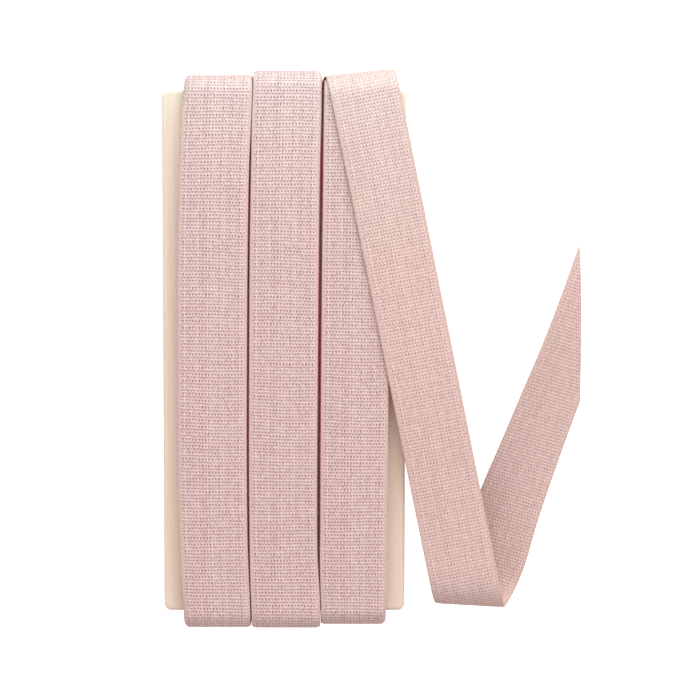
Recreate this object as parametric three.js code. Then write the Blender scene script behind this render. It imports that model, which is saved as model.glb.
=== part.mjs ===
// Roll of cotton ribbon: a narrow woven tape wound lengthways over a flat wooden board in three columns,
// with one free end that comes over the board's upper end, slants down the front, turns in a soft loop and
// runs back along the surface.
//
// Millimetres. The roll lies on its back: +Z is up, +Y runs along the board towards the end that the free
// end comes over, +X runs across the columns. The origin is on the surface, under the board's centre.

import * as THREE from 'three';
import { mergeVertices } from 'three/addons/utils/BufferGeometryUtils.js';

// Driving dimensions

const GAP = 0.3; // clear space between any two pieces
const MERGE = 1e-3; // vertices closer than this are one

const BOARD = { width: 56, length: 120.5, thickness: 5, ease: 0.8, cornerRadius: 1.6, arcSteps: 3 };

const RIBBON = { width: 15.75, thickness: 1 }; // the free end, thicker than the tape so that it is sturdy

const BACK_STACK = 3.2; // layers of ribbon under the board
const BOARD_LOW = BACK_STACK + GAP;
const BOARD_HIGH = BOARD_LOW + BOARD.thickness;

// Each column of the winding: how far its turns reach past the board's centre at both ends, and the heights
// of its underside and its front. The third column is thinner, because the free end is its last turn.
const COLUMNS = [
  { name: 'left', reachTop: 63.65, reachBottom: 64.15, low: 0, high: 12.0 },
  { name: 'middle', reachTop: 64.65, reachBottom: 64.3, low: 0, high: 11.9 },
  { name: 'right', reachTop: 62.3, reachBottom: 63.4, low: RIBBON.thickness + GAP, high: 11.7 },
];

// The columns' long edges, left to right. x is the place at the middle of the board, lean the shift towards
// the upper end and away from the lower one, bow the shift at both ends, all at half the board's length.
const EDGES = [
  { name: 'left side', x: -24.45, lean: 0.25, bow: 1.4, halfGap: 0 },
  { name: 'first groove', x: -8.25, lean: 0.38, bow: 0.83, halfGap: 0.2 },
  { name: 'second groove', x: 8.15, lean: 0.45, bow: 0.35, halfGap: 0.35 },
  { name: 'right side', x: 24.1, lean: 0.5, bow: -0.1, halfGap: 0 },
];

const WINDING = {
  across: [-1, -0.95, -0.83, -0.45, 0.45, 0.83, 0.95, 1], // places over a column's width, in half widths
  flat: 0.83, // beyond this the edges round off
  turnRadius: 4, // outer rounding where the turns go over the board's ends
  coreRadius: 0.8, // rounding of the inmost turn
  web: 0.6, // inmost turns, which join the columns under the grooves
  endDrop: 0.62, // share of the stack's thickness that the edges fall by at the ends
  faceDrop: 0.12, // the same along the faces
  endStart: 54, // distance from the centre where the edges begin to round off
  endFull: 61.5,
  arcSteps: 6,
  faceSteps: 12,
  endSteps: 2,
};

// The free end, seen from above. Angles are in degrees.
const FRONT_RUN = { lean: 11.65, through: { x: 27.75, y: 14.6 }, sag: 1.5, sagStart: 62, sagLength: 45 };
const TURN_OVER = { radius: 4.8, reach: 61.97 }; // middle of the sheet where it turns over the board's end
const LOOP = { lean: -3.3, reach: 56.6 }; // lean of the soft loop's axis, and how far it reaches
const BACK_RUN = 116; // length of the last turn on the underside
const REAR_RUN = { length: 58.9, slant: 2.25 }; // centre length to the cut, and the cut's slant

// The rear run, from the loop to the cut end: distance along it, shift to the right, and the tilt that
// lifts its left edge off the surface.
const REAR_SECTIONS = [
  { along: 0, shift: 0, tilt: 0 },
  { along: 12, shift: 0.6, tilt: 9 },
  { along: 24, shift: 0.9, tilt: 18 },
  { along: 38, shift: 1.2, tilt: 24 },
  { along: 50, shift: 1.9, tilt: 26 },
  { along: 68, shift: 3.4, tilt: 22 },
  { along: 90, shift: 5.8, tilt: 8 },
];

// Helpers

const radians = THREE.MathUtils.degToRad;
const lerp = THREE.MathUtils.lerp;
const smoothstep = THREE.MathUtils.smoothstep;

// A closed skin over a grid of rings. pointAt(ring, step) gives each vertex; neighbours that fall together
// are merged and the triangles that this flattens are dropped.
function skinOverRings(ringCount, ringSize, closedAlong, pointAt) {
  const positions = [];
  const index = [];
  for (let ring = 0; ring < ringCount; ring += 1) {
    for (let step = 0; step < ringSize; step += 1) {
      positions.push(...pointAt(ring, step).toArray());
    }
  }
  const spans = closedAlong ? ringCount : ringCount - 1;
  for (let ring = 0; ring < spans; ring += 1) {
    for (let step = 0; step < ringSize; step += 1) {
      const nextRing = ((ring + 1) % ringCount) * ringSize;
      const nextStep = (step + 1) % ringSize;
      const a = ring * ringSize + step;
      const b = nextRing + step;
      const c = nextRing + nextStep;
      const d = ring * ringSize + nextStep;
      index.push(a, b, c, a, c, d);
    }
  }
  const grid = new THREE.BufferGeometry();
  grid.setAttribute('position', new THREE.Float32BufferAttribute(positions, 3));
  grid.setIndex(index);
  const skin = mergeVertices(grid, MERGE);
  const kept = [];
  for (let i = 0; i < skin.index.count; i += 3) {
    const corners = [skin.index.getX(i), skin.index.getX(i + 1), skin.index.getX(i + 2)];
    if (new Set(corners).size === 3) kept.push(...corners);
  }
  skin.setIndex(kept);
  skin.computeVertexNormals();
  return skin;
}

// Board: a rounded rectangle with eased edges.

function boardGeometry() {
  const { width, length, thickness, ease, cornerRadius, arcSteps } = BOARD;
  const x = width / 2 - cornerRadius;
  const y = length / 2 - cornerRadius;
  const outline = new THREE.Shape();
  outline.absarc(x, y, cornerRadius, 0, Math.PI / 2);
  outline.absarc(-x, y, cornerRadius, Math.PI / 2, Math.PI);
  outline.absarc(-x, -y, cornerRadius, Math.PI, 1.5 * Math.PI);
  outline.absarc(x, -y, cornerRadius, 1.5 * Math.PI, 2 * Math.PI);
  const geometry = new THREE.ExtrudeGeometry(outline, {
    depth: thickness - 2 * ease,
    bevelThickness: ease,
    bevelSize: ease,
    bevelOffset: -ease,
    bevelSegments: arcSteps,
    curveSegments: arcSteps,
  });
  geometry.translate(0, 0, BOARD_LOW + ease);
  return geometry;
}

// Winding: a sleeve around the board. Its cross section is the profile of three columns on a thin web, and
// it runs once around a rounded rectangle in the YZ plane.

// Where an edge of the columns lies at the distance y along the board.
function edgeX(edge, y) {
  const t = THREE.MathUtils.clamp(y / (BOARD.length / 2), -1, 1);
  return edge.x + edge.lean * t + edge.bow * Math.abs(t) ** 3;
}

// A point of a rounded rectangle: on corner arc number `corner` at the share `turn` of its quarter turn, or
// past it, at the share `along` of the straight side to the next corner.
function rectanglePoint(box, station) {
  const arcPoint = (corner, turn) => {
    const angle = (Math.PI / 2) * (1 - corner - turn);
    const y = corner < 2 ? box.yMax - box.radius : box.yMin + box.radius;
    const z = corner === 0 || corner === 3 ? box.zMax - box.radius : box.zMin + box.radius;
    return new THREE.Vector2(y + box.radius * Math.cos(angle), z + box.radius * Math.sin(angle));
  };
  if (station.along === 0) return arcPoint(station.corner, station.turn);
  return arcPoint(station.corner, 1).lerp(arcPoint((station.corner + 1) % 4, 0), station.along);
}

function windingStations() {
  const stations = [];
  for (let corner = 0; corner < 4; corner += 1) {
    for (let i = 0; i <= WINDING.arcSteps; i += 1) {
      stations.push({ corner, turn: i / WINDING.arcSteps, along: 0 });
    }
    const steps = corner % 2 === 0 ? WINDING.endSteps : WINDING.faceSteps;
    for (let i = 1; i < steps; i += 1) {
      stations.push({ corner, turn: 1, along: i / steps });
    }
  }
  return stations;
}

// The profile across the columns, as steps of { column, across, level }. The level is 'outer', 'web' or
// 'inner'.
function windingProfile() {
  const profile = [];
  COLUMNS.forEach((_, column) => {
    if (column > 0) profile.push({ column, across: -1, level: 'web' });
    WINDING.across.forEach((across) => profile.push({ column, across, level: 'outer' }));
    if (column < COLUMNS.length - 1) profile.push({ column, across: 1, level: 'web' });
  });
  for (let column = COLUMNS.length - 1; column >= 0; column -= 1) {
    profile.push({ column, across: 1, level: 'inner' });
    profile.push({ column, across: -1, level: 'inner' });
  }
  return profile.reverse(); // against the sleeve's run, so that its faces point outwards
}

function windingGeometry() {
  const stations = windingStations();
  const profile = windingProfile();
  const core = {
    yMin: -BOARD.length / 2 - GAP,
    yMax: BOARD.length / 2 + GAP,
    zMin: BACK_STACK,
    zMax: BOARD_HIGH + GAP,
    radius: WINDING.coreRadius,
  };
  const outerBox = (column) => ({
    yMin: -column.reachBottom,
    yMax: column.reachTop,
    zMin: column.low,
    zMax: column.high,
    radius: WINDING.turnRadius,
  });
  return skinOverRings(stations.length, profile.length, true, (ring, step) => {
    const { column, across, level } = profile[step];
    const inner = rectanglePoint(core, stations[ring]);
    const outer = rectanglePoint(outerBox(COLUMNS[column]), stations[ring]);
    const left = edgeX(EDGES[column], inner.x) + EDGES[column].halfGap;
    const right = edgeX(EDGES[column + 1], inner.x) - EDGES[column + 1].halfGap;
    const endness = smoothstep(Math.abs(outer.x), WINDING.endStart, WINDING.endFull);
    const past = Math.max(0, (Math.abs(across) - WINDING.flat) / (1 - WINDING.flat));
    const rounding = 1 - Math.sqrt(1 - past ** 2);
    const drop = rounding * lerp(WINDING.faceDrop, WINDING.endDrop, endness);
    const place = { outer: drop, web: 1 - WINDING.web / outer.distanceTo(inner), inner: 1 }[level];
    const point = outer.lerp(inner, place);
    return new THREE.Vector3(lerp(left, right, (across + 1) / 2), point.x, point.y);
  });
}

// Free end: a flat strip that is bent without stretching. A place on the flat strip is (along, across):
// from the turn-over at the board's upper end towards the cut end, and from the left edge to the right one.

// Unit vectors in the plane of the surface: `along` the strip, `across` it, and for each bend its axis.
const lean = radians(FRONT_RUN.lean);
const frontAlong = new THREE.Vector2(Math.sin(lean), -Math.cos(lean));
const frontAcross = new THREE.Vector2(Math.cos(lean), Math.sin(lean));

function bendFrame(degrees) {
  const axis = new THREE.Vector2(Math.cos(radians(degrees)), Math.sin(radians(degrees)));
  return { axis, normal: new THREE.Vector2(-axis.y, axis.x) };
}
// The turn-over's axis halves the angle between the straight back run and the leaning front run.
const turnFrame = bendFrame(FRONT_RUN.lean / 2);
const loopFrame = bendFrame(LOOP.lean);
// Past the loop the strip is mirrored in the loop's axis.
const acrossTheAxis = frontAcross.dot(loopFrame.normal);
const rearAcross = frontAcross.clone().addScaledVector(loopFrame.normal, -2 * acrossTheAxis);

const FRONT_LEVEL = COLUMNS[2].high + GAP + RIBBON.thickness / 2;
const FLOOR_LEVEL = RIBBON.thickness / 2;

// The strip's place on the flat front plane; its zero is where the turn-over begins.
const turnStart = TURN_OVER.reach - TURN_OVER.radius;
const through = new THREE.Vector2(FRONT_RUN.through.x, FRONT_RUN.through.y);
const toTurn = (through.dot(turnFrame.normal) - turnStart) / frontAlong.dot(turnFrame.normal);
const frontOrigin = through.clone().addScaledVector(frontAlong, -toTurn);

function flatPlace(along, across) {
  return frontOrigin.clone().addScaledVector(frontAlong, along).addScaledVector(frontAcross, across);
}

// Turn-over: a quarter turn, a short straight and a quarter turn. distance is how far past its start a
// point lies, and the answer holds the reach past that start and the height.
const turnDrop = FRONT_LEVEL - FLOOR_LEVEL - 2 * TURN_OVER.radius;
const quarterTurn = (Math.PI / 2) * TURN_OVER.radius;
const turnLength = 2 * quarterTurn + turnDrop;

function turnProfile(distance) {
  const { radius } = TURN_OVER;
  if (distance < quarterTurn) {
    const angle = distance / radius;
    return { reach: radius * Math.sin(angle), height: FRONT_LEVEL - radius * (1 - Math.cos(angle)) };
  }
  if (distance < quarterTurn + turnDrop) {
    return { reach: radius, height: FRONT_LEVEL - radius - (distance - quarterTurn) };
  }
  if (distance < turnLength) {
    const angle = (turnLength - distance) / radius;
    return { reach: radius * Math.sin(angle), height: FLOOR_LEVEL + radius * (1 - Math.cos(angle)) };
  }
  return { reach: turnLength - distance, height: FLOOR_LEVEL };
}

// Loop: the slope grows from level to upside down by a raised cosine bend, strongest in the middle. The
// table holds reach and fall at equal steps for a loop of length one.
const LOOP_STEPS = 400;
const unitLoop = [{ reach: 0, fall: 0 }];
for (let i = 0; i < LOOP_STEPS; i += 1) {
  const t = (i + 0.5) / LOOP_STEPS;
  const slope = Math.PI * t - Math.sin(2 * Math.PI * t) / 2;
  const last = unitLoop[i];
  unitLoop.push({
    reach: last.reach + Math.cos(slope) / LOOP_STEPS,
    fall: last.fall + Math.sin(slope) / LOOP_STEPS,
  });
}
const loopTop = FRONT_LEVEL - FRONT_RUN.sag;
const loopLength = (loopTop - FLOOR_LEVEL) / unitLoop[LOOP_STEPS].fall;
const loopStart = LOOP.reach - loopLength * unitLoop[LOOP_STEPS / 2].reach;

function loopProfile(distance) {
  if (distance > loopLength) return { reach: loopLength - distance, height: FLOOR_LEVEL };
  const place = (distance / loopLength) * LOOP_STEPS;
  const low = Math.min(Math.floor(place), LOOP_STEPS - 1);
  const share = place - low;
  return {
    reach: loopLength * lerp(unitLoop[low].reach, unitLoop[low + 1].reach, share),
    height: loopTop - loopLength * lerp(unitLoop[low].fall, unitLoop[low + 1].fall, share),
  };
}

// Where along the strip, at one of its widths, the loop begins and ends.
function loopPlace(distance, across) {
  const start = flatPlace(0, across);
  return (loopStart + distance + start.dot(loopFrame.normal)) / -frontAlong.dot(loopFrame.normal);
}

// Rear run: smooth values between the rows of its table.
const rearInterpolant = new THREE.CubicInterpolant(
  REAR_SECTIONS.map((section) => section.along),
  REAR_SECTIONS.flatMap((section) => [section.shift, section.tilt]),
  2,
);

function rearSection(distance) {
  const [shift, tilt] = rearInterpolant.evaluate(distance);
  return { shift, tilt: radians(tilt) };
}

function bentPlace(frame, flat, sign, start, profile) {
  const along = flat.dot(frame.axis);
  const place = frame.axis.clone().multiplyScalar(along);
  place.addScaledVector(frame.normal, sign * (start + profile.reach));
  return new THREE.Vector3(place.x, place.y, profile.height);
}

// The middle of the sheet's thickness at a place of the flat strip.
function middlePoint(along, across) {
  const flat = flatPlace(along, across);
  const pastTurn = flat.dot(turnFrame.normal) - turnStart;
  if (pastTurn > 0) return bentPlace(turnFrame, flat, 1, turnStart, turnProfile(pastTurn));
  const pastLoop = -flat.dot(loopFrame.normal) - loopStart;
  if (pastLoop < 0) {
    const { sag, sagStart, sagLength } = FRONT_RUN;
    const fall = sag * smoothstep(along, sagStart, sagStart + sagLength);
    return new THREE.Vector3(flat.x, flat.y, FRONT_LEVEL - fall);
  }
  const place = bentPlace(loopFrame, flat, -1, loopStart, loopProfile(pastLoop));
  const pastBend = along - loopPlace(loopLength, RIBBON.width / 2);
  if (pastBend <= 0) return place;
  const { shift, tilt } = rearSection(pastBend);
  const fromRight = RIBBON.width / 2 - across;
  const sideways = shift + fromRight * (1 - Math.cos(tilt));
  place.x += rearAcross.x * sideways;
  place.y += rearAcross.y * sideways;
  place.z += fromRight * Math.sin(tilt);
  return place;
}

// The rows of stations along the strip: where its middle line is and how much further on the right edge is
// than the middle, for each millimetre of width. Between two rows there are `steps` equal steps.
const turnSkew = Math.tan(radians(FRONT_RUN.lean / 2));
const loopSkew = Math.tan(radians(FRONT_RUN.lean - LOOP.lean));
const turnEnd = -turnLength / Math.cos(radians(FRONT_RUN.lean / 2));
const loopFirst = loopPlace(0, 0);
const loopLast = loopPlace(loopLength, 0);
const STRIP_ROWS = [
  { name: 'back end', along: turnEnd - BACK_RUN, skew: 0, steps: 3 },
  { name: 'turn-over, back', along: turnEnd, skew: turnSkew, steps: 12 },
  { name: 'turn-over, front', along: 0, skew: turnSkew, steps: 4 },
  { name: 'leaves the winding', along: FRONT_RUN.sagStart, skew: 0, steps: 5 },
  { name: 'loop, front', along: loopFirst, skew: loopSkew, steps: 14 },
  { name: 'loop, rear', along: loopLast, skew: loopSkew, steps: 12 },
  { name: 'cut end', along: loopLast + REAR_RUN.length, skew: -REAR_RUN.slant, steps: 1 },
];
const STRIP_COLUMNS = 4;

function stripStations() {
  const stations = [];
  STRIP_ROWS.forEach((row, i) => {
    const next = STRIP_ROWS[i + 1] ?? row;
    for (let step = 0; step < row.steps; step += 1) {
      const share = step / row.steps;
      stations.push({ along: lerp(row.along, next.along, share), skew: lerp(row.skew, next.skew, share) });
    }
  });
  return stations;
}

// A face of the sheet, half a thickness off its middle. The normal comes from a small step each way.
const PROBE = 0.01;
function facePoint(along, across, side) {
  const alongStep = middlePoint(along + PROBE, across).sub(middlePoint(along - PROBE, across));
  const acrossStep = middlePoint(along, across + PROBE).sub(middlePoint(along, across - PROBE));
  const normal = alongStep.cross(acrossStep).normalize();
  return middlePoint(along, across).addScaledVector(normal, (side * RIBBON.thickness) / 2);
}

function looseEndGeometry() {
  const stations = stripStations();
  // The first and last rings are flat, which closes the sheet's two ends.
  const rings = [stations[0], ...stations, stations[stations.length - 1]];
  const perFace = STRIP_COLUMNS + 1;
  return skinOverRings(rings.length, 2 * perFace, false, (ring, step) => {
    const { along, skew } = rings[ring];
    const onFront = step < perFace;
    const column = onFront ? step : 2 * perFace - 1 - step;
    const across = RIBBON.width * (column / STRIP_COLUMNS - 0.5);
    const closed = ring === 0 || ring === rings.length - 1;
    const side = closed ? 0 : onFront ? 1 : -1;
    return facePoint(along + skew * across, across, side);
  });
}

const MATERIALS = {
  wood: { color: 0xe6d3bf, roughness: 0.7, metalness: 0 },
  ribbon: { color: 0xdcbcb6, roughness: 0.95, metalness: 0 },
};

function piece(name, geometry, finish) {
  const mesh = new THREE.Mesh(geometry, new THREE.MeshStandardMaterial(MATERIALS[finish]));
  mesh.name = name;
  return mesh;
}

const roll = new THREE.Group();
roll.name = 'roll_of_cotton_ribbon';
roll.add(piece('board', boardGeometry(), 'wood'));
roll.add(piece('wound_ribbon', windingGeometry(), 'ribbon'));
roll.add(piece('loose_end', looseEndGeometry(), 'ribbon'));

export default roll;
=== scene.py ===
# %% [markdown]
# # A roll of cotton ribbon
# A narrow cotton tape is wound lengthways over a flat wooden board, in three columns side by side.
# Its free end comes over the board's upper end, slants down the front and turns back in a soft loop.
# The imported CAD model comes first: every piece below stands for one of its solids, in the same frame.

import math

import bmesh
import bpy
import numpy as np
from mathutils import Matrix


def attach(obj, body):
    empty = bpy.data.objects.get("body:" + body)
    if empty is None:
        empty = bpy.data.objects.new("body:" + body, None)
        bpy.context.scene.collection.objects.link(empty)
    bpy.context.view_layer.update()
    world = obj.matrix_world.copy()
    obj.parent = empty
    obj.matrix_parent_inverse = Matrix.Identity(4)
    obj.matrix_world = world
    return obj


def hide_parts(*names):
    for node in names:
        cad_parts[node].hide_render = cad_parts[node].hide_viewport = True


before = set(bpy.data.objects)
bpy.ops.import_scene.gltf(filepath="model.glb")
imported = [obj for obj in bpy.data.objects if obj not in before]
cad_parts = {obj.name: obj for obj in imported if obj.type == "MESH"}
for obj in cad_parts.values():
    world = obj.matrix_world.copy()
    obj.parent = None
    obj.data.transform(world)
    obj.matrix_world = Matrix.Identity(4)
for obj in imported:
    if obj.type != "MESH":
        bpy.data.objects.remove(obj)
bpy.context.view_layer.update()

# %% [markdown]
# ## Sizes
# Shapes are worked out in millimetres, as a maker measures them, and a mesh is made from them in metres.
# The tape is 15.75 mm wide, with 43 warp threads along it and a weft thread every 0.757 mm.
# The pattern's coordinates are counts too: `end` counts warp threads across the tape, and `pick` counts
# weft threads along it.

# %% Sizes in millimetres
MM = 0.001
TAPE = {"width": 15.75, "thickness": 0.5, "ends": 43, "pick": 0.757}
BOARD = {"width": 56, "length": 120.5, "low": 3.5, "high": 8.5, "ease": 0.8, "corner": 1.6}
COLUMNS = {
    "left": {"top": 63.65, "bottom": 64.1, "low": 0.15, "high": 12.0, "turns": 7},
    "middle": {"top": 64.65, "bottom": 64.25, "low": 0.15, "high": 11.9, "turns": 7},
    "right": {"top": 62.7, "bottom": 63.4, "low": 0.75, "high": 11.9, "turns": 6},
}
# How far a column's left and right edges fall at the upper end, and then at the lower end, as shares of the
# winding's depth.
END_FALLS = {
    "left": (0.5, 0.06, 0.34, 0.06),
    "middle": (0.06, 0.3, 0.07, 0.07),
    "right": (0.05, 0.5, 0.05, 0.36),
}
# The columns' long edges: x at the board's middle, lean and bow at its ends, shift at the lower end,
# and half the gap at the upper end, in the middle and at the lower end.
EDGES = [
    (-24.45, 0.25, 1.4, 0, (0, 0, 0)),
    (-8.25, 0.38, 0.83, 0.1, (0.06, 0.2, 0.1)),
    (8.15, 0.45, 0.35, 0.4, (0.22, 0.33, 0.06)),
    (24.1, 0.5, -0.1, 0.1, (0, 0, 0)),
]
random = np.random.default_rng(7)


def smoothstep(x, low, high):
    """0 below low, 1 above high, and 3t^2 - 2t^3 between them."""
    t = np.clip((x - low) / (high - low), 0, 1)
    return t * t * (3 - 2 * t)


print("the tape has", TAPE["ends"], "warp ends and", round(10 / TAPE["pick"], 1), "picks a centimetre")

# %% [markdown]
# ## From a grid of points to a mesh
# A length of tape is a closed tube: its rows follow the tape, and its columns go round the
# cross-section, over the front face and back under the reverse. Blender could extrude a curve, but a
# grid of points gives each warp thread its own place, and the same grid carries the coordinates of the
# weave.


# %% Grid helpers
def tube_faces(rows, columns, wraps):
    """Quads over a grid of rows x columns. The columns always close; the rows close where wraps is
    true, and otherwise both ends are capped by quads from each front vertex to the reverse one that
    faces it."""
    r = np.arange(rows if wraps else rows - 1)[:, None]
    c = np.arange(columns)[None, :]
    r2, c2 = (r + 1) % rows, (c + 1) % columns
    sides = np.stack([r * columns + c, r2 * columns + c, r2 * columns + c2, r * columns + c2], -1)
    sides = sides.reshape(-1, 4)
    grid = np.stack(np.broadcast_arrays(r, c), -1).reshape(-1, 2)
    if wraps:
        return sides, grid, np.zeros((0, 4), int)
    j = np.arange(columns // 2 - 1)
    cap = np.stack([j, j + 1, columns - 2 - j, columns - 1 - j], -1)
    return sides, grid, np.concatenate([cap, cap[:, ::-1] + (rows - 1) * columns])


def tape_piece(name, lengths, material):
    """One object from several lengths of tape. Each is (points, end, pick, depth, wraps): the points by row
    and column in mm, the warp count of each column, the weft count of each row, with one more where the
    rows close, how much painted shade each point gets in a groove or under a turn's edge, from 0 to 1, and
    whether the rows close.
    A length's faces are turned where its volume comes out negative. Six times that volume is the sum of
    a.(b x c) over its triangles."""
    places, faces, pattern, smooth, grooves, start = [], [], [], [], [], 0
    for points, end, pick, depth, wraps in lengths:
        rows, columns = points.shape[:2]
        sides, grid, caps = tube_faces(rows, columns, wraps)
        r, c = grid[:, 0], grid[:, 1]
        c2 = (c + 1) % columns
        corners = [(c, r), (c, r + 1), (c2, r + 1), (c2, r)]
        uv = np.stack([np.stack([end[a], pick[b]], -1) for a, b in corners], 1)
        cap_uv = np.stack([end[caps % columns], pick[caps // columns]], -1)
        quads = np.concatenate([sides, caps])
        uv = np.concatenate([uv, cap_uv])
        flat = points.reshape(-1, 3)
        a, b, c, d = (flat[quads[:, i]] for i in range(4))
        six_volumes = (a * np.cross(b, c)).sum() + (a * np.cross(c, d)).sum()
        if six_volumes < 0:
            quads, uv = quads[:, ::-1], uv[:, ::-1]
        places.append(flat * MM)
        grooves.append(np.broadcast_to(depth, (rows, columns)).ravel())
        faces.append(quads + start)
        pattern.append(uv / TAPE["ends"])
        smooth.append(np.arange(len(quads)) < len(sides))
        start += len(flat)
    places, faces, pattern = (np.concatenate(x) for x in (places, faces, pattern))
    mesh = bpy.data.meshes.new(name)
    mesh.vertices.add(len(places))
    mesh.vertices.foreach_set("co", places.ravel())
    mesh.loops.add(faces.size)
    mesh.loops.foreach_set("vertex_index", faces.ravel())
    mesh.polygons.add(len(faces))
    mesh.polygons.foreach_set("loop_start", np.arange(0, faces.size, 4))
    mesh.polygons.foreach_set("use_smooth", np.concatenate(smooth))
    mesh.uv_layers.new(name="weave").data.foreach_set("uv", pattern.reshape(-1))
    mesh.attributes.new("groove", "FLOAT", "POINT").data.foreach_set("value", np.concatenate(grooves))
    mesh.update(calc_edges=True)
    mesh.materials.append(material)
    made = bpy.data.objects.new(name, mesh)
    bpy.context.scene.collection.objects.link(made)
    print(name, "has", 2 * len(faces), "triangles")
    return made


# %% [markdown]
# ## Shader maths in Python
# A material's pattern is a sum of waves and noises. One small class wraps a socket, so that an
# expression such as `0.5 - mask * 0.3` adds its own Math nodes and the formulas below stay readable.


# %% A socket with operators
class Value:
    """One output of a node tree. Arithmetic on it adds Math nodes."""

    def __init__(self, tree, socket=None):
        self.tree, self.socket = tree, socket

    def node(self, kind, settings=None, inputs=None, output=0):
        """Adds a node of any kind. Its inputs go by name or number, and each is a number or a Value."""
        made = self.tree.nodes.new(kind)
        for key, setting in (settings or {}).items():
            setattr(made, key, setting)
        for key, value in (inputs or {}).items():
            if isinstance(value, Value):
                self.tree.links.new(value.socket, made.inputs[key])
            else:
                made.inputs[key].default_value = value
        return Value(self.tree, made.outputs[output])

    def maths(self, operation, *values):
        return self.node("ShaderNodeMath", {"operation": operation}, dict(enumerate(values)))

    def __add__(self, other):
        return self.maths("ADD", self, other)

    def __sub__(self, other):
        return self.maths("SUBTRACT", self, other)

    def __rsub__(self, other):
        return self.maths("SUBTRACT", other, self)

    def __mul__(self, other):
        return self.maths("MULTIPLY", self, other)

    def wave(self):
        """The sine of pi times this value: zero at each whole number."""
        return (self * math.pi).maths("SINE", self * math.pi)

    def size(self):
        return self.maths("ABSOLUTE", self)

    def whole(self):
        return self.maths("FLOOR", self)

    def step(self, low, high):
        """0 below low, 1 above high, smooth between them."""
        ranges = {"From Min": low, "From Max": high, "Value": self}
        return self.node("ShaderNodeMapRange", {"interpolation_type": "SMOOTHSTEP"}, ranges)

    def between(self, first, second):
        """The colour that lies this share of the way from first to second."""
        colours = [Value.colour(c) for c in (first, second)]
        return self.node("ShaderNodeMix", {"data_type": "RGBA"}, {0: self, 6: colours[0], 7: colours[1]}, 2)

    @staticmethod
    def colour(c):
        return c if isinstance(c, Value) else (*c, 1)


def new_material(name):
    """An empty node material: its tree, wrapped, and its Principled shader."""
    material = bpy.data.materials.new(name)
    material.use_nodes = True
    shader = material.node_tree.nodes["Principled BSDF"]
    return material, Value(material.node_tree), shader


def finish_material(tree, shader, colour, height, bump_mm):
    """Joins a colour, and a height whose full range stands bump_mm high, to the shader."""
    tree.tree.links.new(colour.socket, shader.inputs["Base Color"])
    bump = tree.node("ShaderNodeBump", {}, {"Strength": 1.0, "Distance": bump_mm * MM, "Height": height})
    tree.tree.links.new(bump.socket, shader.inputs["Normal"])


print("shader helpers are ready")

# %% [markdown]
# ## Cotton
# The real tape is a matt plain weave. Each weft thread lifts the warp into a row of pale dashes, with a
# dark line between two rows, and a small dark pit beside each dash where a warp thread dives under. The
# material paints these lines and pits as painted shade in the weave's hollows, on top of the relief's own
# shading.
# The pattern reads the piece's own UV map, which counts threads, so it bends with the tape and never
# slides.
# The free end is one layer, through which some light comes back from below, so it looks paler and
# softer than the winding. A paler and softer version of the same material stands for that.

# %% The cotton's material
PINK_LIGHT = (0.795, 0.588, 0.556)
PINK_DARK = (0.25, 0.10, 0.095)
SELVEDGE = (0.64, 0.445, 0.405)
# Painted shade for the grooves: light that leaves a groove has met the cotton many times, so it is deep
# red.
GROOVE_SHADE = (0.42, 0.035, 0.045)
# Noises, in waves a metre: how the threads stray, cloudy patches, and single fibres.
STRAY, CLOUDY, FIBRES = 900, 70, 5200
# How far the threads stray, counted in threads, and how far a pit lies from the rib's middle.
STRAY_ENDS, STRAY_PICKS, PIT_SHIFT = 0.5, 0.35, 0.31
# The selvedge's width in warp threads, from where the open weave starts to where it is whole.
OPEN_WEAVE = (0.8, 2.6)
# What each part adds to how dark the cotton is, 0 for PINK_LIGHT and 1 for PINK_DARK. The ribs and pits are
# painted shade in the weave's hollows; the chances, patches and fibres are the cotton's own tone.
TONE_AND_SHADE = {
    "base": 0.36,
    "rib": 0.26,
    "rib in the selvedge": 0.1,
    "pit": 0.05,
    "pit by chance": 0.24,
    "every second warp thread": 0.07,
    "crossing by chance": 0.16,
    "warp thread by chance": 0.14,
    "weft thread by chance": 0.03,
    "patches": 0.04,
    "fibres": 0.3,
}
# The same for the selvedge, whose slanting strokes mix SELVEDGE and PINK_DARK.
STROKES = {"base": 0.05, "stroke": 0.14, "fibres": 0.3, "slant": 0.8}
# What each part adds to the fine bump, whose full range is BUMP millimetres high.
FINE = {"over": 0.4, "rib": 0.35, "thread": 0.2, "fibres": 0.15}
BUMP = 0.1


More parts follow.
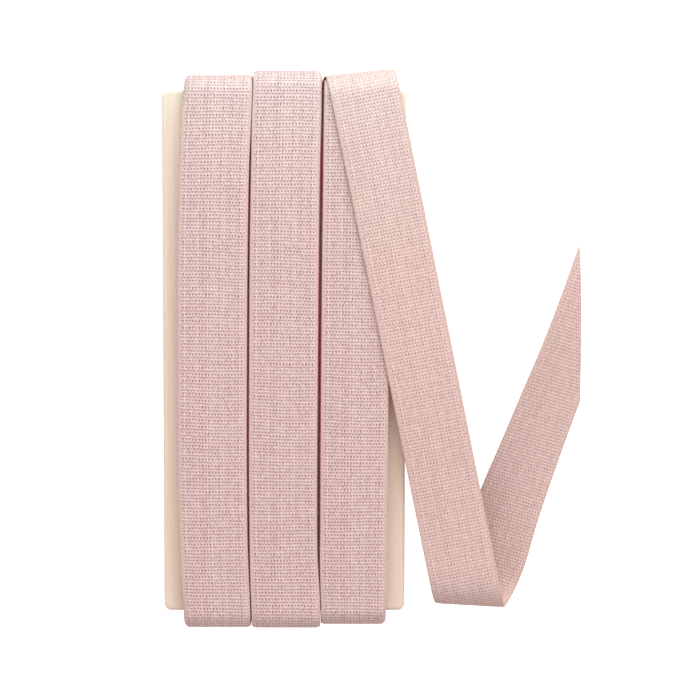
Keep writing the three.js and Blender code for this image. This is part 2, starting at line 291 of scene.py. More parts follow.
def cotton_material(name, contrast, lift, tint):
    """crest = sin^2(pi pick) is the rib over each weft thread.
    over = sin(pi end) sin(pi (pick - PIT_SHIFT)) is +1 where a warp thread shows as a dash and -1 in the
    pit beside it, a little off the rib's middle as on the real tape. The darkness between the ribs and in
    the pits is painted shade. White noises vary each thread and each crossing, and the selvedges have
    slanting strokes in place of pits.
    contrast scales the dark parts, lift makes all paler, and tint multiplies the colours."""
    material, tree, shader = new_material(name)
    coordinates = tree.node("ShaderNodeUVMap", {"uv_map": "weave"})
    end = tree.node("ShaderNodeSeparateXYZ", {}, {0: coordinates}, 0) * TAPE["ends"]
    pick = tree.node("ShaderNodeSeparateXYZ", {}, {0: coordinates}, 1) * TAPE["ends"]
    place = tree.node("ShaderNodeTexCoord", {}, {}, 3)
    stray = tree.node("ShaderNodeTexNoise", {}, {"Vector": place, "Scale": STRAY, "Detail": 2}) - 0.5
    end, pick = end + stray * STRAY_ENDS, pick + stray * STRAY_PICKS
    crest = pick.wave() * pick.wave()
    over = end.wave() * (pick - PIT_SHIFT).wave()
    from_edge = TAPE["ends"] / 2 - (end - TAPE["ends"] / 2).size()
    woven = from_edge.step(*OPEN_WEAVE)

    cell = tree.node("ShaderNodeCombineXYZ", {}, {0: end.whole(), 1: pick.whole()})
    chance = tree.node("ShaderNodeTexWhiteNoise", {"noise_dimensions": "2D"}, {"Vector": cell})
    warp_chance = tree.node("ShaderNodeTexWhiteNoise", {"noise_dimensions": "1D"}, {"W": end.whole()})
    weft_chance = tree.node("ShaderNodeTexWhiteNoise", {"noise_dimensions": "1D"}, {"W": pick.whole()})
    cloudy = tree.node("ShaderNodeTexNoise", {}, {"Vector": place, "Scale": CLOUDY, "Detail": 3})
    fibres = tree.node("ShaderNodeTexNoise", {}, {"Vector": place, "Scale": FIBRES, "Detail": 2})

    # Painted shade: the valleys between the ribs and the pits beside the dashes are darkened.
    tone_and_shade = (0.5 - crest) * (woven * TONE_AND_SHADE["rib"] + TONE_AND_SHADE["rib in the selvedge"])
    tone_and_shade = tone_and_shade - over * woven * (chance * TONE_AND_SHADE["pit by chance"] + TONE_AND_SHADE["pit"])
    tone_and_shade = tone_and_shade - end.wave() * woven * TONE_AND_SHADE["every second warp thread"]
    tone_and_shade = tone_and_shade + (chance - 0.5) * TONE_AND_SHADE["crossing by chance"]
    tone_and_shade = tone_and_shade + (warp_chance - 0.5) * TONE_AND_SHADE["warp thread by chance"]
    tone_and_shade = tone_and_shade + (weft_chance - 0.5) * TONE_AND_SHADE["weft thread by chance"]
    tone_and_shade = tone_and_shade + (cloudy - 0.5) * TONE_AND_SHADE["patches"] + (fibres - 0.5) * TONE_AND_SHADE["fibres"]
    tone_and_shade = tone_and_shade * contrast + TONE_AND_SHADE["base"] - lift
    strokes = (pick + end * STROKES["slant"]).wave() * STROKES["stroke"]
    strokes = strokes + (fibres - 0.5) * STROKES["fibres"] + STROKES["base"]
    light, deep, firm = (tuple(np.multiply(c, tint)) for c in (PINK_LIGHT, PINK_DARK, SELVEDGE))
    colour = woven.between(strokes.between(firm, deep), tone_and_shade.between(light, deep))
    # Painted shade: the mesh's groove attribute mixes the colour toward the deep red groove colour in the
    # grooves and on the shaded edges of the turns.
    depth = tree.node("ShaderNodeAttribute", {"attribute_name": "groove"}, {}, 2)
    colour = depth.between(colour, GROOVE_SHADE)
    height = over * woven * FINE["over"] + crest * FINE["rib"] + end.wave().size() * FINE["thread"]
    height = height + fibres * FINE["fibres"]
    finish_material(tree, shader, colour, height, BUMP)
    shader.inputs["Roughness"].default_value = 0.92
    shader.inputs["Specular IOR Level"].default_value = 0.2
    shader.inputs["Sheen Weight"].default_value = 0.25
    shader.inputs["Sheen Roughness"].default_value = 0.45
    return material


cotton = cotton_material("cotton_wound", 1.1, 0.0, (1, 1, 1))
single_layer = cotton_material("cotton_single_layer", 0.85, 0.05, (1.0, 0.99, 0.965))
print("made", cotton.name, "and", single_layer.name)

# %% [markdown]
# ## Wood
# The board is a pale close-grained wood, sanded and bare, with faint straight grain along its length.
# Noise that is stretched along Y gives the grain; it reads Object coordinates, so all faces agree.


# %% The board's material
WOOD_LIGHT = (0.82, 0.67, 0.56)
WOOD_DARK = (0.70, 0.515, 0.395)
# Where in the noise the board lies, so that no face falls on a plane where the noise is regular.
NOISE_PLACE = (3, 5, 7)
WOOD_BUMP = 0.03


def wood_material():
    """Broad soft bands, fine grain lines and short pores, all long in Y, mix two pale tones."""
    material, tree, shader = new_material("pale_wood")
    place = tree.node("ShaderNodeTexCoord", {}, {}, 3)

    def streaks(across, along, detail):
        """Noise with so many waves a metre across the grain and along it."""
        scale = (across, along, across)
        inputs = {"Vector": place, "Scale": scale, "Location": NOISE_PLACE}
        scaled = tree.node("ShaderNodeMapping", {}, inputs)
        return tree.node("ShaderNodeTexNoise", {}, {"Vector": scaled, "Scale": 1, "Detail": detail})

    bands = streaks(220, 9, 3)
    grain = streaks(1500, 30, 4)
    pores = streaks(4200, 260, 1).step(0.62, 0.75)
    share = (bands - 0.5) * 0.9 + (grain - 0.5) * 0.8 + pores * 0.25 + 0.35
    colour = share.between(WOOD_LIGHT, WOOD_DARK)
    finish_material(tree, shader, colour, grain * 0.6 - pores, WOOD_BUMP)
    shader.inputs["Roughness"].default_value = 0.62
    shader.inputs["Specular IOR Level"].default_value = 0.35
    return material


wood = wood_material()
print("made", wood.name)

# %% [markdown]
# ## The board
# A flat card of wood with eased edges. A cube with a bevel would do; a profile carried round the outline is
# as short, and lets the corners be rounder than the edges.


# %% The board
def board_piece():
    """Rings round a rectangle with rounded corners. A ring on the lower easing has the inset
    ease (1 - sin a) and lies ease (1 - cos a) above the lower face, for a from 0 to a quarter turn.
    The upper rings mirror it."""
    corner_points, ease_rings = 7, 6
    turn = np.linspace(0, np.pi / 2, corner_points)
    corner = np.arange(4)[:, None] * np.pi / 2
    angle = (corner + turn).ravel()
    which = np.repeat(np.arange(4), corner_points)
    sign_x = np.where(np.isin(which, (0, 3)), 1, -1)
    sign_y = np.where(which < 2, 1, -1)
    bend = np.linspace(0, np.pi / 2, ease_rings)
    ease = BOARD["ease"]
    low = [(ease * (1 - math.sin(a)), BOARD["low"] + ease * (1 - math.cos(a))) for a in bend]
    high = [(inset, BOARD["low"] + BOARD["high"] - z) for inset, z in reversed(low)]
    inset, z = np.array(low + high).T
    radius = BOARD["corner"] - inset[:, None]
    x = sign_x * (BOARD["width"] / 2 - BOARD["corner"]) + radius * np.cos(angle)
    y = sign_y * (BOARD["length"] / 2 - BOARD["corner"]) + radius * np.sin(angle)
    points = np.stack([x, y, np.broadcast_to(z[:, None], x.shape)], -1)
    rows, columns = x.shape
    r, c = np.arange(rows - 1)[:, None], np.arange(columns)[None, :]
    c2 = (c + 1) % columns
    lower, upper = r * columns, (r + 1) * columns
    quads = np.stack([lower + c, lower + c2, upper + c2, upper + c], -1)
    rims = [list(range(columns))[::-1], list(range((rows - 1) * columns, rows * columns))]
    mesh = bpy.data.meshes.new("winding_board")
    mesh.from_pydata(points.reshape(-1, 3) * MM, [], quads.reshape(-1, 4).tolist() + rims)
    mesh.polygons.foreach_set("use_smooth", [True] * (len(mesh.polygons) - 2) + [False] * 2)
    mesh.materials.append(wood)
    made = bpy.data.objects.new("winding_board", mesh)
    bpy.context.scene.collection.objects.link(made)
    return made


board = board_piece()
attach(board, "root")
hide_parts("board")
print("the board has", len(board.data.polygons), "faces")

# %% [markdown]
# ## The weave as relief
# Threads that go over and under are what makes the tape look woven from close by, so they are part of
# the mesh and not only of the material. Two rows to a pick and two columns to a warp end are just
# enough to follow them.
# The free end has its relief on both faces, so one column to a warp end keeps its mesh small enough.


# %% Relief of the weave
RELIEF = {"height": 0.1, "over": 0.4, "rib": 0.25, "rib in the selvedge": 0.15, "thread": 0.2}
# The firm selvedge in warp threads, from where the relief starts to where it is whole.
OPEN_RELIEF = (0.8, 3.2)
# How much a crossing's height varies around 1, and its least and greatest value.
CROSSING = {"spread": 0.3, "least": 0.3, "most": 1.8}


def relief(end, pick, uneven, fade):
    """Height in mm: over = sin(pi end) sin(pi pick) lifts and sinks the warp, |sin(pi pick)| makes the
    cross ribs, |sin(pi end)| rounds each thread. uneven scales each crossing by a chance of its own,
    and fade is 0 in the selvedges, where only low ribs are left."""
    cell = uneven[np.floor(pick).astype(int) % uneven.shape[0], np.floor(end).astype(int) % uneven.shape[1]]
    over = np.sin(np.pi * end) * np.sin(np.pi * pick) * cell
    rib = np.abs(np.sin(np.pi * pick)) * (RELIEF["rib in the selvedge"] + RELIEF["rib"] * fade)
    thread = np.abs(np.sin(np.pi * end))
    return RELIEF["height"] * (RELIEF["over"] * over * fade + rib + RELIEF["thread"] * thread * fade)


def woven_share(end):
    """How open the weave is: 0 in the firm selvedges and 1 from about three threads in."""
    return smoothstep(np.minimum(end, TAPE["ends"] - end), *OPEN_RELIEF)


def chances(picks):
    """A seeded factor for each crossing, around 1."""
    drawn = random.normal(1, CROSSING["spread"], (picks + 2, TAPE["ends"] + 1))
    return np.clip(drawn, CROSSING["least"], CROSSING["most"])


def edge_taper(across, rim):
    """Half a circle's fall over the outer `rim` of the width: sqrt(1 - p^2), with p from 0 to 1 there."""
    past = np.clip((np.abs(across) - (1 - rim)) / rim, 0, 1)
    return np.sqrt(np.maximum(1 - past**2, 0))


print("relief of the weave:", RELIEF["height"], "mm")

# %% [markdown]
# ## The wound columns
# Each column is a stack of closed turns of tape round the board. Seen from the side it shows its turns'
# edges. At the board's ends these are drawn down, because a taut tape hugs the corner there.
# The outer turn carries the full relief. The turns under it show only their edges, so they are coarse.


# %% Shape of a column
# Ranges of distance from the board's middle, in mm: where the shift at the lower end comes in, where a
# groove's width changes, and where the edges fall.
SHIFT_ZONE, GAP_ZONE, FALL_ZONE = (45, 60), (38, 57), (54, 61.5)
# The board's section with a little play: least and greatest y, least and greatest z, and the corners'
# radius. OUTER_RADIUS is that of the whole winding.
CORE = (-60.31, 60.31, 3.44, 8.56, 0.86)
OUTER_RADIUS = 4
# From this share of the half width on, an edge falls: by FACE_FALL of the depth on the faces.
FALL_START, FACE_FALL = 0.83, 0.04
# Turns inside, in mm: half their gap in a groove at the board, how far in a free edge lies, and how much
# that varies.
INNER_GAP, FREE_INSET, FREE_WANDER = 0.05, 0.16, 0.14


def edge_x(edge, y):
    """x of a column's long edge: x + lean t + bow |t|^3, where t is y over half the board's length, and a
    smooth shift near the lower end."""
    x, lean, bow, shift, _ = edge
    t = np.clip(y / (BOARD["length"] / 2), -1, 1)
    return x + lean * t + bow * np.abs(t) ** 3 + shift * smoothstep(-y, *SHIFT_ZONE)


def half_gap(edge, y):
    """Half the groove's width, which changes smoothly near both ends of the board."""
    upper, middle, lower = edge[4]
    to_upper, to_lower = smoothstep(y, *GAP_ZONE), smoothstep(-y, *GAP_ZONE)
    return middle + (upper - middle) * to_upper + (lower - middle) * to_lower


def rounded_box(box, station):
    """Points of a rounded rectangle in the YZ plane. The station counts its sides: from each even number a
    quarter circle, centre + radius (cos a, sin a), and from each odd one the straight run to the next."""
    low_y, high_y, low_z, high_z, radius = box
    side = np.floor(station).astype(int) % 8
    share = station - np.floor(station)

    def arc(corner, turn):
        angle = np.pi / 2 * (1 - corner - turn)
        y = np.where(corner % 4 < 2, high_y - radius, low_y + radius)
        z = np.where(np.isin(corner % 4, (0, 3)), high_z - radius, low_z + radius)
        return np.stack([y + radius * np.cos(angle), z + radius * np.sin(angle)], -1)

    start = arc(side // 2, np.where(side % 2 == 0, share, 1.0))
    straight = np.where(side % 2 == 1, share, 0.0)[..., None]
    return start + (arc(side // 2 + 1, 0.0 * share) - start) * straight


def column_points(name, station, across, level, wander=None):
    """A point lies `level` of the way from the board to the column's outer box. The edges fall by a quarter
    ellipse, 1 - sqrt(1 - p^2), a little on the faces and by the column's own shares at the board's ends.
    With wander, for the turns inside, the free edges are drawn in, and the gap between those in a groove
    grows with the fourth power of the level, from INNER_GAP at the board to the groove's own width."""
    column = COLUMNS[name]
    place = list(COLUMNS).index(name)
    inner = rounded_box(CORE, station)
    box = (-column["bottom"], column["top"], column["low"], column["high"], OUTER_RADIUS)
    outer = rounded_box(box, station)
    left, right = edge_x(EDGES[place], inner[..., 0]), edge_x(EDGES[place + 1], inner[..., 0])
    gaps = [half_gap(edge, inner[..., 0]) for edge in EDGES[place : place + 2]]
    if wander is not None:
        closing = np.clip(level, 0, 1) ** 4
        free = FREE_INSET + FREE_WANDER * wander
        gaps = [np.where(gap > 0, INNER_GAP + (gap - INNER_GAP) * closing, free) for gap in gaps]
    left, right = left + gaps[0], right - gaps[1]
    past = np.clip((np.abs(across) - FALL_START) / (1 - FALL_START), 0, 1)
    upper_left, upper_right, lower_left, lower_right = END_FALLS[name]
    upper = np.where(across < 0, upper_left, upper_right) * smoothstep(outer[..., 0], *FALL_ZONE)
    lower = np.where(across < 0, lower_left, lower_right) * smoothstep(-outer[..., 0], *FALL_ZONE)
    drop = (1 - np.sqrt(1 - past**2)) * (FACE_FALL + upper + lower)
    depth = np.linalg.norm(outer - inner, axis=-1)
    yz = inner + (outer - inner) * ((level + 0 * depth) * (1 - drop))[..., None]
    x = left + (right - left) * (across + 1) / 2
    return np.stack([x + 0 * yz[..., 0], yz[..., 0], yz[..., 1]], -1), depth


def turn_stations(name, level):
    """Stations, and the distance run along the turn at each, measured at the middle of its width."""
    steps_to_a_side = 500
    station = np.linspace(0, 8, 8 * steps_to_a_side + 1)
    points, _ = column_points(name, station, 0.0, level)
    steps = np.linalg.norm(np.diff(points, axis=0), axis=1)
    return station, np.concatenate([[0], np.cumsum(steps)])


# How dark the reverse of an inner turn is at its edge, where the next turn shades it, and from which
# share of the half width it grows to that.
EDGE_SHADE, SHADE_ZONE = 0.55, (0.9, 0.985)
# Half a groove's width in mm: up to the first its edges keep their colour, and from the second on they get
# the full painted groove shade.
OPEN_GROOVE = (0.05, 0.18)


def edge_shade(across, thick):
    """How dark an inner turn's edge is on its reverse. Its front has none."""
    return EDGE_SHADE * smoothstep(np.abs(across), *SHADE_ZONE) * (thick < 0)


def groove_shade_share(name, across, start, y):
    """How much painted groove shade a point gets: 0 up to `start`, counted from the middle as 0 to the edge
    as 1, and 1 at an edge beside an open groove. Where two columns touch there is no groove, so there it
    fades."""
    place = list(COLUMNS).index(name)
    left, right = (smoothstep(half_gap(edge, y), *OPEN_GROOVE) for edge in EDGES[place : place + 2])
    return left * smoothstep(-across, start, 1) + right * smoothstep(across, start, 1)


def cross_section(front, back, half, rim):
    """Columns round the tape: the place across, from -1 to 1, and the offset from the middle of the
    thickness, +half on the front and -half on the reverse, which narrows over the outer `rim` to the
    selvedge."""
    across = np.concatenate([front, back[::-1]])
    face = np.concatenate([np.ones(len(front)), -np.ones(len(back))])
    return across, face * edge_taper(across, rim) * half


print("columns:", ", ".join(COLUMNS))


# %% Turns of a column
# Half a turn's thickness, as a share of one turn's part of the depth.
OUTER_HALF, INNER_HALF = 0.46, 0.44
# The rounded selvedges, as shares of the half width, and where along it the painted groove shade starts.
OUTER_RIM, INNER_RIM = 0.03, 0.04
OUTER_GROOVE, INNER_GROOVE = 0.98, 0.86
# In mm along the tape: how far a weft thread bows, and how much further on it is at its left end.
WEFT_BOW, WEFT_SLANT = 0.08, 0.12
# Places across an inner turn, and its rows on each side of the box: corner, short run, corner, long run.
INNER_ACROSS = np.array([-1, -0.99, -0.965, -0.9, -0.5, 0, 0.5, 0.9, 0.965, 0.99, 1])
INNER_ROWS = (7, 2, 7, 30, 7, 2, 7, 30)


def outer_turn(name):
    """The outer turn with its relief: a whole even number of picks goes round, two rows to each."""
    station, run = turn_stations(name, 1.0)
    picks = 2 * round(run[-1] / TAPE["pick"] / 2)
    pick = np.arange(2 * picks + 1) / 2
    row = pick[:-1, None]
    # The warp counts lie close together over the rounded selvedges, and half a thread apart between them.
    rim_ends = [0, 0.12, 0.4, 0.9, 1.5]
    end = np.concatenate([rim_ends, np.arange(2, 41.5, 0.5), TAPE["ends"] - np.array(rim_ends[::-1])])
    front = end / TAPE["ends"] * 2 - 1
    back = np.array([-0.97, -0.5, 0, 0.5, 0.97])
    half = OUTER_HALF / COLUMNS[name]["turns"]
    across, thick = cross_section(front, back, half, OUTER_RIM)
    bow = np.sin(row / 9 + 1.7 * across) + np.sin(row / 23 - 2.6 * across)
    distance = (row / picks * run[-1] + WEFT_BOW * bow - WEFT_SLANT * across) % run[-1]
    stations = np.interp(distance, run, station)
    end = (across + 1) / 2 * TAPE["ends"]
    _, depth = column_points(name, stations, across, 1.0)
    height = relief(end, row, chances(picks), woven_share(end)) * (thick > 0)
    level = 1 - half + thick + height / depth
    points, _ = column_points(name, stations, across, level)
    # The outer turn's edges beside an open groove get painted groove shade.
    return points, end, pick, groove_shade_share(name, across, OUTER_GROOVE, points[..., 1]), True


def inner_turn(name, number):
    """A turn further in: the same box at a lower level. Its edges wander a little, each turn's its own
    way."""
    turns = COLUMNS[name]["turns"]
    sides = [np.linspace(side, side + 1, rows, endpoint=False) for side, rows in enumerate(INNER_ROWS)]
    station = np.concatenate(sides)
    across, thick = cross_section(INNER_ACROSS, INNER_ACROSS[1:-1], INNER_HALF / turns, INNER_RIM)
    wander = np.sin(station * 2.1 + number * 1.9)[:, None] * np.sin(number * 2.7 + 1)
    middle = (number + 0.5) / turns
    points, _ = column_points(name, station[:, None] + 0 * across, across, middle + thick, wander)
    stations, run = turn_stations(name, middle)
    pick = np.append(np.interp(station, stations, run), run[-1]) / TAPE["pick"]
    # Painted shade in the grooves, and on the reverse of each edge, where the next turn shades it.
    depth = groove_shade_share(name, across, INNER_GROOVE, points[..., 1])
    depth = np.maximum(depth, edge_shade(across, thick))
    return points, (across + 1) / 2 * TAPE["ends"], pick, depth, True


for name in COLUMNS:
    turns = [inner_turn(name, number) for number in range(COLUMNS[name]["turns"] - 1)]
    wound = tape_piece("wound_column_" + name, [*turns, outer_turn(name)], cotton)
    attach(wound, "root")
    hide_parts("wound_ribbon")

# %% [markdown]
# ## The free end
# Cloth bends easily and hardly stretches, so the free end is worked out as a flat strip that is only
# bent: a place on it is `along` and `across`, and each bend turns about an axis in the plane. A cloth
# simulation would find a loop of its own; here it has to be the loop that the photographed roll has, so
# its axis and height are given.

# %% Bends of the free end
# The front run's slant, and a point in x and y that its middle line passes through.
LEAN = math.radians(11.65)
THROUGH = np.array([27.75, 14.6])
# Heights of the cloth's middle, over the winding and on the surface.
FRONT_LEVEL, FLOOR_LEVEL = 12.5, 0.37
# A bend's axis is its angle in the plane, and its reach is how far from the origin it gets before it turns
# back. Before the loop the front run sags, by so much, from sag_start on and over sag_length.
TURN = {"radius": 4.8, "reach": 61.97, "axis": LEAN / 2}
LOOP = {"reach": 56.6, "axis": math.radians(-3.3), "sag": 1.5, "sag_start": 62, "sag_length": 45}
# From the loop to the cut, the cut's slope, and how far before the loop's end the shifts below start.
REAR = {"length": 58.6, "slant": 2.2, "start": 14}
# The hidden run under the third column, from the turn-over's foot back to the tape's start.
BACK_RUN, BACK_ROWS = 116, 50
# The rear run: distance from where its shifts start, shift to the right, and the tilt in degrees that lifts
# its left edge.
REAR_TABLE = np.array(
    [(0, 0, 0), (3, 0.35, 0), (6, 0.9, 0), (10, 1.35, 0), (14, 1.38, 1), (20, 1.05, 4), (26, 0.88, 9)]
    + [(38, 0.9, 18), (52, 1.15, 24), (64, 1.75, 26), (82, 2.9, 22), (104, 4.7, 8)]
)
FRONT_ALONG = np.array([math.sin(LEAN), -math.cos(LEAN)])
FRONT_ACROSS = np.array([math.cos(LEAN), math.sin(LEAN)])


def bend_axes(angle):
    """Unit vectors of a bend in the plane: its axis, and the normal that points away from it."""
    return np.array([math.cos(angle), math.sin(angle)]), np.array([-math.sin(angle), math.cos(angle)])


TURN_AXIS, TURN_NORMAL = bend_axes(TURN["axis"])
LOOP_AXIS, LOOP_NORMAL = bend_axes(LOOP["axis"])
REAR_ACROSS = FRONT_ACROSS - 2 * (FRONT_ACROSS @ LOOP_NORMAL) * LOOP_NORMAL
TURN_START = TURN["reach"] - TURN["radius"]
ORIGIN = THROUGH - FRONT_ALONG * ((THROUGH @ TURN_NORMAL - TURN_START) / (FRONT_ALONG @ TURN_NORMAL))
QUARTER = math.pi / 2 * TURN["radius"]
TURN_DROP = FRONT_LEVEL - FLOOR_LEVEL - 2 * TURN["radius"]
TURN_LENGTH = 2 * QUARTER + TURN_DROP

# The loop for a length of 1: its reach and fall add up the cosine and sine of its slope.
LOOP_STEPS = 800
LOOP_SHARE = np.linspace(0, 1, LOOP_STEPS + 1)
slope = np.pi * LOOP_SHARE - np.sin(2 * np.pi * LOOP_SHARE) / 2
middle = (slope[1:] + slope[:-1]) / 2
LOOP_REACH = np.append(0, np.cumsum(np.cos(middle))) / LOOP_STEPS
LOOP_FALL = np.append(0, np.cumsum(np.sin(middle))) / LOOP_STEPS
LOOP_TOP = FRONT_LEVEL - LOOP["sag"]
LOOP_LENGTH = (LOOP_TOP - FLOOR_LEVEL) / LOOP_FALL[-1]
LOOP_START = LOOP["reach"] - LOOP_LENGTH * LOOP_REACH[LOOP_STEPS // 2]
print("the loop takes", round(LOOP_LENGTH, 1), "mm of tape")


# %% Places on the bent strip
def flat_place(along, across):
    """The strip laid flat on the front plane."""
    return ORIGIN + along[..., None] * FRONT_ALONG + across[..., None] * FRONT_ACROSS


def turn_profile(d):
    """Reach and height after a distance d past the start of the turn-over: a quarter circle, a short
    straight, a quarter circle back, and then flat on the surface."""
    r = TURN["radius"]
    first, last = d / r, (TURN_LENGTH - d) / r
    cases = [d < QUARTER, d < QUARTER + TURN_DROP, d < TURN_LENGTH]
    reach = np.select(cases, [r * np.sin(first), r + 0 * d, r * np.sin(last)], TURN_LENGTH - d)
    heights = [FRONT_LEVEL - r * (1 - np.cos(first)), FRONT_LEVEL - r - (d - QUARTER)]
    heights.append(FLOOR_LEVEL + r * (1 - np.cos(last)))
    return reach, np.select(cases, heights, FLOOR_LEVEL)


def loop_profile(d):
    """Reach and height in the loop. Its slope grows as pi t - sin(2 pi t) / 2, so it bends most halfway."""
    share = np.clip(d / LOOP_LENGTH, 0, 1)
    reach = LOOP_LENGTH * np.interp(share, LOOP_SHARE, LOOP_REACH) - np.maximum(d - LOOP_LENGTH, 0)
    return reach, LOOP_TOP - LOOP_LENGTH * np.interp(share, LOOP_SHARE, LOOP_FALL)


def loop_place(d, across):
    """Where along the strip, at one of its widths, the distance d into the loop lies."""
    start = (ORIGIN + across * FRONT_ACROSS) @ LOOP_NORMAL
    return (LOOP_START + d + start) / -(FRONT_ALONG @ LOOP_NORMAL)


def rear_section(d):
    """Shift and tilt along the rear run: a cubic between each two rows, whose slope at a row is that
    between its neighbours. The rows beyond the ends mirror the next ones in, so there the slope is 0."""
    t, v = REAR_TABLE[:, 0], REAR_TABLE[:, 1:]
    t = np.concatenate([[2 * t[0] - t[1]], t, [2 * t[-1] - t[-2]]])
    v = np.concatenate([v[1:2], v, v[-2:-1]])
    i = np.clip(np.searchsorted(t, d, side="right") - 1, 1, len(t) - 3)
    span = t[i + 1] - t[i]
    p = ((d - t[i]) / span)[..., None]
    before, after = (span / 2 / (t[i] - t[i - 1]))[..., None], (span / 2 / (t[i + 2] - t[i + 1]))[..., None]
    value = v[i - 1] * before * (-(p**3) + 2 * p**2 - p)
    value += v[i] * ((1 + before) * p**3 - (1.5 + 2 * before) * p**2 + (before - 0.5) * p + 1)
    value += v[i + 1] * (-(1 + after) * p**3 + (1.5 + after) * p**2 + 0.5 * p)
    value += v[i + 2] * after * (p**3 - p**2)
    return value[..., 0], np.radians(value[..., 1])


def strip_middle(along, across):
    """The middle of the cloth's thickness. Past a bend's start, the part along the bend's axis stays and
    the rest follows the bend's profile. Past the loop the rear run also shifts, and tilts about its right
    edge."""
    flat = flat_place(along, across)
    past_turn = flat @ TURN_NORMAL - TURN_START
    reach, turn_z = turn_profile(past_turn)
    over_end = (flat @ TURN_AXIS)[..., None] * TURN_AXIS + (TURN_START + reach)[..., None] * TURN_NORMAL
    past_loop = -(flat @ LOOP_NORMAL) - LOOP_START
    reach, loop_z = loop_profile(np.maximum(past_loop, 0))
    looped = (flat @ LOOP_AXIS)[..., None] * LOOP_AXIS - (LOOP_START + reach)[..., None] * LOOP_NORMAL
    past_bend = along - loop_place(LOOP_LENGTH, TAPE["width"] / 2) + REAR["start"]
    shift, tilt = rear_section(np.clip(past_bend, 0, REAR_TABLE[-1, 0]))
    shift, tilt = np.where(past_bend > 0, shift, 0), np.where(past_bend > 0, tilt, 0)
    from_right = TAPE["width"] / 2 - across
    looped = looped + (shift + from_right * (1 - np.cos(tilt)))[..., None] * REAR_ACROSS
    loop_z = loop_z + from_right * np.sin(tilt)
    sag_end = LOOP["sag_start"] + LOOP["sag_length"]
    front_z = FRONT_LEVEL - LOOP["sag"] * smoothstep(along, LOOP["sag_start"], sag_end)
    cases = [past_turn > 0, past_loop < 0]
    xy = np.where(cases[0][..., None], over_end, np.where(cases[1][..., None], flat, looped))
    z = np.select(cases, [turn_z, front_z], loop_z)
    return np.concatenate([xy, z[..., None]], -1)


def strip_face(along, across, offset):
    """A face of the cloth: the middle, moved by offset along the normal, which is the cross product of a
    small step along and a small step across."""
    probe = 0.01
    step_along = strip_middle(along + probe, across) - strip_middle(along - probe, across)
    step_across = strip_middle(along, across + probe) - strip_middle(along, across - probe)
    normal = np.cross(step_along, step_across)
    normal /= np.linalg.norm(normal, axis=-1, keepdims=True)
    return strip_middle(along, across) + offset[..., None] * normal


turn_end = -TURN_LENGTH / math.cos(TURN["axis"])
cut_along = loop_place(LOOP_LENGTH, 0.0) + REAR["length"]
print("from the turn-over's foot to the cut:", round(cut_along - turn_end, 1), "mm")


# %% The free end's mesh
# What the relief takes from half the thickness, and the rounded selvedge as a share of the half width.
RELIEF_ROOM, RIM = 0.02, 0.03
# In metres: vertices nearer than this are merged.
MERGE = 1e-7


def free_end():
    """Coarse rows under the third column, then two rows to a pick, and a column on the middle of each
    warp end. Beyond the slanting cut all rows fall on the cut line, and vertices that coincide there
    are merged."""
    half_width = TAPE["width"] / 2
    longest = cut_along + REAR["slant"] * half_width
    fine = np.arange(0, longest - turn_end + TAPE["pick"], TAPE["pick"] / 2) + turn_end
    coarse = np.linspace(turn_end - BACK_RUN, turn_end, BACK_ROWS, endpoint=False)
    rows = np.concatenate([coarse, fine])
    pick = (rows - turn_end) / TAPE["pick"]
    # The warp counts lie close together over the rounded selvedges, and a thread apart between them.
    rim_ends = [0, 0.12, 0.4, 1.0, 1.6]
    end = np.concatenate([rim_ends, np.arange(2.5, 41, 1), TAPE["ends"] - np.array(rim_ends[::-1])])
    front = end / TAPE["ends"] * 2 - 1
    across, thick = cross_section(front, front, TAPE["thickness"] / 2 - RELIEF_ROOM, RIM)
    end = (across + 1) / 2 * TAPE["ends"]
    width = across * half_width
    along = np.minimum(rows[:, None], cut_along - REAR["slant"] * width)
    uneven = chances(int(pick[-1]) + 2)
    open_weave = woven_share(end) * (pick[:, None] >= 0)
    reverse = (thick < 0).astype(float)
    height = relief(end + reverse, along / TAPE["pick"] - turn_end / TAPE["pick"], uneven, open_weave)
    offset = thick + height * np.sign(thick) * (pick[:, None] >= 0)
    points = strip_face(along, width + 0 * along, offset)
    made = tape_piece("free_end", [(points, end, pick, 0.0, False)], single_layer)
    shape = bmesh.new()
    shape.from_mesh(made.data)
    bmesh.ops.remove_doubles(shape, verts=shape.verts, dist=MERGE)
    shape.to_mesh(made.data)
    shape.free()
    made.data.update()
    flat_length = longest - (turn_end - BACK_RUN)
    flat_area = TAPE["width"] * (cut_along - (turn_end - BACK_RUN))
    return made, flat_length, flat_area


loose, flat_length, flat_area = free_end()
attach(loose, "root")
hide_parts("loose_end")
flat_length * MM
flat_area * MM * MM
print("the free end is cut from", TAPE["width"], "by", round(flat_length, 1), "mm of tape")

# %% [markdown]
# ## Surface, light and camera
# The roll lies on a plain white surface. The surface glows, so that it comes out as white as in the
# photo, and it is hidden from diffuse rays, so that this glow doesn't light the roll.
# The sky gives an even light, brighter above and toward the upper end. One large lamp beyond the upper
# end makes the turns over that end bright and leaves those over the lower end darker, and two weak ones
# light the sides. A narrow cool lamp close to the upper end, which the camera doesn't see, makes the
# turn-overs paler, as in the photo. Below the horizon the sky is brown, in place of the warm light that
# the cotton and the board throw on each other's shaded parts.

# %% Surface
FLOOR_COLOUR, FLOOR_GLOW = (0.85, 0.85, 0.85), 0.8
FLOOR_SIZE, FLOOR_HEIGHT = 40, -0.0002

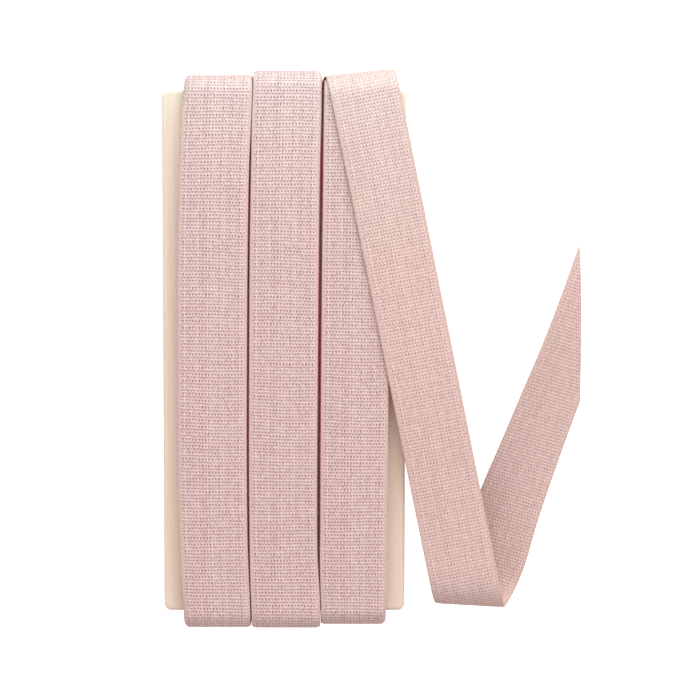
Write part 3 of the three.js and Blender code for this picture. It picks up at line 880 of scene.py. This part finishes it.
floor_material, _, floor_shader = new_material("pale_floor")
floor_shader.inputs["Base Color"].default_value = (*FLOOR_COLOUR, 1)
floor_shader.inputs["Roughness"].default_value = 0.9
floor_shader.inputs["Emission Color"].default_value = (1, 1, 1, 1)
floor_shader.inputs["Emission Strength"].default_value = FLOOR_GLOW
bpy.ops.mesh.primitive_plane_add(size=FLOOR_SIZE, location=(0, 0, FLOOR_HEIGHT))
floor = bpy.context.object
floor.name = "floor"
floor.data.materials.append(floor_material)
floor.visible_diffuse = False
print("the surface lies", -FLOOR_HEIGHT / MM, "mm below the roll")

# %% Light
# The sky's colours: below the horizon, away from the light and toward it. Then the light's direction,
# and the ranges of its cosine and of height over which the colours change.
BELOW, AWAY, TOWARD = (0.38, 0.21, 0.15), (0.5, 0.44, 0.4), (0.92, 0.92, 0.93)
LIGHT_DIRECTION, LIGHT_RANGE, HORIZON = (0.1, 0.45, 0.89), (-0.5, 0.6), (-0.2, 0.02)

world = bpy.data.worlds.new("soft_light")
world.use_nodes = True
sky = Value(world.node_tree)
direction = sky.node("ShaderNodeTexCoord", {}, {}, 0)
upward = sky.node("ShaderNodeSeparateXYZ", {}, {0: direction}, 2)
vectors = {0: direction, 1: LIGHT_DIRECTION}
toward_light = sky.node("ShaderNodeVectorMath", {"operation": "DOT_PRODUCT"}, vectors, 1)
above = toward_light.step(*LIGHT_RANGE).between(AWAY, TOWARD)
tone = upward.step(*HORIZON).between(BELOW, above)
world.node_tree.links.new(tone.socket, world.node_tree.nodes["Background"].inputs["Color"])
world.node_tree.nodes["Background"].inputs["Strength"].default_value = 1.0
bpy.context.scene.world = world


def soft_box(name, place, target, size, power, colour):
    """A rectangular lamp at place that faces target, both in mm, with its power in watts."""
    lamp = bpy.data.lights.new(name, "AREA")
    lamp.shape, lamp.size, lamp.size_y = "RECTANGLE", size[0] * MM, size[1] * MM
    lamp.energy, lamp.color = power, colour
    made = bpy.data.objects.new(name, lamp)
    bpy.context.scene.collection.objects.link(made)
    made.location = [v * MM for v in place]
    away = made.location - type(made.location)([v * MM for v in target])
    made.rotation_euler = away.to_track_quat("Z", "Y").to_euler()
    return made


soft_box("light_upper_end", (70, 520, 280), (0, 0, 8), (420, 240), 2.2, (0.96, 1.0, 1.0))
soft_box("light_right", (330, 130, 120), (30, 0, 8), (200, 160), 0.25, (1.0, 0.97, 0.92))
soft_box("light_left", (-330, -60, 150), (-20, 0, 8), (200, 160), 0.12, (1.0, 0.97, 0.94))
glow = soft_box("glow_upper_end", (10, 77, 31), (10, 52, 8), (130, 8), 0.0085, (0.3, 0.95, 1.0))
glow.visible_camera = False
print("lamps:", ", ".join(lamp.name for lamp in bpy.data.lights))

# %% Camera
# The lens and the sensor in mm. The photo is 700 pixels wide, and its 306th column is straight ahead.
LENS, SENSOR, PHOTO_WIDTH, STRAIGHT_ON = 101.06, 36, 700, 306
CAMERA_PLACE = (0.00504, 0.03451, 0.46075)
CAMERA_PITCH = math.radians(-4.28)

camera_data = bpy.data.cameras.new("camera")
camera_data.lens, camera_data.sensor_width = LENS, SENSOR
camera_data.shift_x = (PHOTO_WIDTH / 2 - STRAIGHT_ON) / PHOTO_WIDTH
camera_data.clip_start = 0.01
camera = bpy.data.objects.new("camera", camera_data)
camera.location = CAMERA_PLACE
camera.rotation_euler = (CAMERA_PITCH, 0, 0)
bpy.context.scene.collection.objects.link(camera)
bpy.context.scene.camera = camera
bpy.context.scene.view_settings.view_transform = "Standard"
print("the camera is", round(camera.location.z, 3), "m above the surface")
